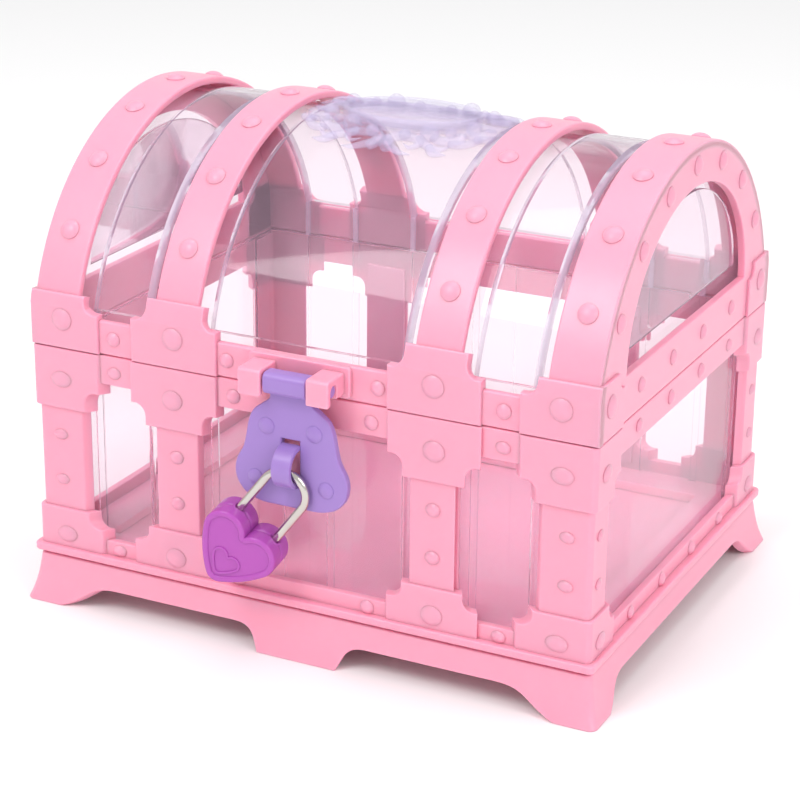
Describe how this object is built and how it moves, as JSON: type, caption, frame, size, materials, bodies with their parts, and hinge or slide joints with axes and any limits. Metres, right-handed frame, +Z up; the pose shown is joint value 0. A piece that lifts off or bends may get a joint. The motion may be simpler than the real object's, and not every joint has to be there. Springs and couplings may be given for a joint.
{
  "type": "toy treasure chest with padlock",
  "caption": "Toy treasure chest: clear bin and barrel vault in a pink riveted frame, hinged lid, hasp and a heart-shaped padlock that opens.",
  "frame": {"origin": "middle of the whole object's outline in plan, padlock and hinges included, on the plane its feet stand on", "axes": "+X along the front, to the right of a viewer facing it; +Y from the front towards the hinges; +Z up"},
  "size_m": [0.1878, 0.1621, 0.149],
  "materials": {
    "pink_plastic": "satin-gloss opaque moulding",
    "clear_plastic": "clear polystyrene with a faint lavender tint",
    "purple_plastic": "satin-gloss opaque moulding",
    "magenta_plastic": "gloss opaque moulding",
    "nickel_wire": "nickel-plated steel wire",
    "zinc_steel": "zinc-plated steel",
    "spring_steel": "bright spring wire",
    "brass_cast": "plain cast"
  },
  "bodies": {
    "base": {"plinth": "pink_plastic", "base_frame": "pink_plastic", "base_liner": "clear_plastic", "base_screws": "zinc_steel", "hinge_pins": "nickel_wire"},
    "lid": {"lid_frame": "pink_plastic", "lid_liner": "clear_plastic"},
    "hasp": {"hasp": "purple_plastic"},
    "shackle": {"shackle": "nickel_wire"},
    "padlock": {"padlock_front": "magenta_plastic", "padlock_rear": "magenta_plastic", "lock_block": "brass_cast", "latch_spring": "spring_steel", "shackle_spring": "spring_steel", "case_screw": "zinc_steel"},
    "latch": {"latch_bolt": "zinc_steel"},
    "key_plug": {"key_plug": "nickel_wire"}
  },
  "joints": [
    {"name": "lid_hinge", "type": "hinge", "parent": "base", "child": "lid", "pos_m": [0, 0.07755, 0.08215], "axis": [-1, 0, 0], "range_deg": [0, 100]},
    {"name": "hasp_hinge", "type": "hinge", "parent": "lid", "child": "hasp", "pos_m": [0, -0.0732, 0.087], "axis": [-1, 0, 0], "range_deg": [0, 110]},
    {"name": "padlock_swing", "type": "hinge", "parent": "hasp", "child": "shackle", "pos_m": [0, -0.0724, 0.0623], "axis": [-1, 0, 0], "range_deg": [0, 80]},
    {"name": "shackle_slide", "type": "slide", "parent": "shackle", "child": "padlock", "axis": [-0.6113, 0.0021, -0.7914], "range_m": [0, 0.0045]},
    {"name": "key_turn", "type": "hinge", "parent": "padlock", "child": "key_plug", "pos_m": [-0.01571, -0.07448, 0.03552], "axis": [-0.0869, 0.9938, 0.0698], "range_deg": [0, 90]},
    {"name": "latch_slide", "type": "slide", "parent": "padlock", "child": "latch", "axis": [0.7866, 0.1114, -0.6073], "range_m": [0, 0.0009]}
  ],
  "couplings": [
    {"joint": "key_turn", "follows": "latch_slide", "rad_per_m": 1745}
  ]
}
